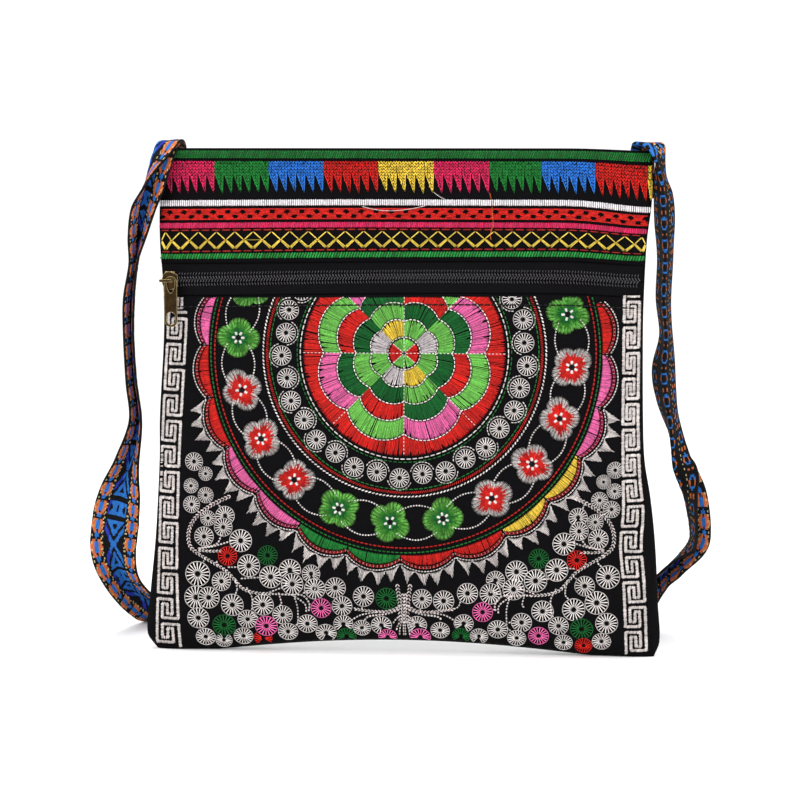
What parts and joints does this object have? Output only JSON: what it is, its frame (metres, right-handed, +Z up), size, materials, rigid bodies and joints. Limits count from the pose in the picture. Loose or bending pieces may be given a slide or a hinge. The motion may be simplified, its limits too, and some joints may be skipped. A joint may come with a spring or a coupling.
{
  "type": "embroidered shoulder bag",
  "caption": "Square cotton pouch with an embroidered front, a zipped front pocket, an open mouth and a long woven shoulder band.",
  "frame": {"origin": "middle of the footprint on the floor, strap included; the pouch stands forward of it", "axes": "+X to the viewer's right across the front, +Y away from the front, +Z up"},
  "size_m": [0.3385, 0.259, 0.2717],
  "materials": {
    "black_cotton": "matt plain-woven cotton",
    "embroidered_cotton": "matt cotton under satin-stitch embroidery",
    "zip_tape": "matt woven zip tape",
    "nylon_coil": "satin nylon coil",
    "antique_brass": "antiqued, dark in the hollows",
    "green_thread": "satin-stitched thread",
    "white_thread": "satin-stitched thread",
    "red_thread": "openwork braid of thread",
    "pink_thread": "satin-stitched thread",
    "woven_band": "jacquard-woven band"
  },
  "bodies": {
    "bag": {"back_panel": "black_cotton", "front_panel": "embroidered_cotton", "upper_band": "embroidered_cotton", "zip_tape_lower": "zip_tape", "zip_tape_upper": "zip_tape", "zip_coil": "nylon_coil", "zip_slider": "antique_brass", "top_cord": "green_thread", "white_cord": "white_thread", "red_braid": "red_thread", "pink_cord": "pink_thread", "green_cord": "green_thread", "strap": "woven_band"},
    "zip_pull": {"zip_pull": "antique_brass"}
  },
  "joints": [
    {"name": "pull_swing", "type": "hinge", "parent": "bag", "child": "zip_pull", "pos_m": [-0.11616, -0.12101, 0.1979], "axis": [0, -1, 0], "range_deg": [-25, 100]}
  ]
}
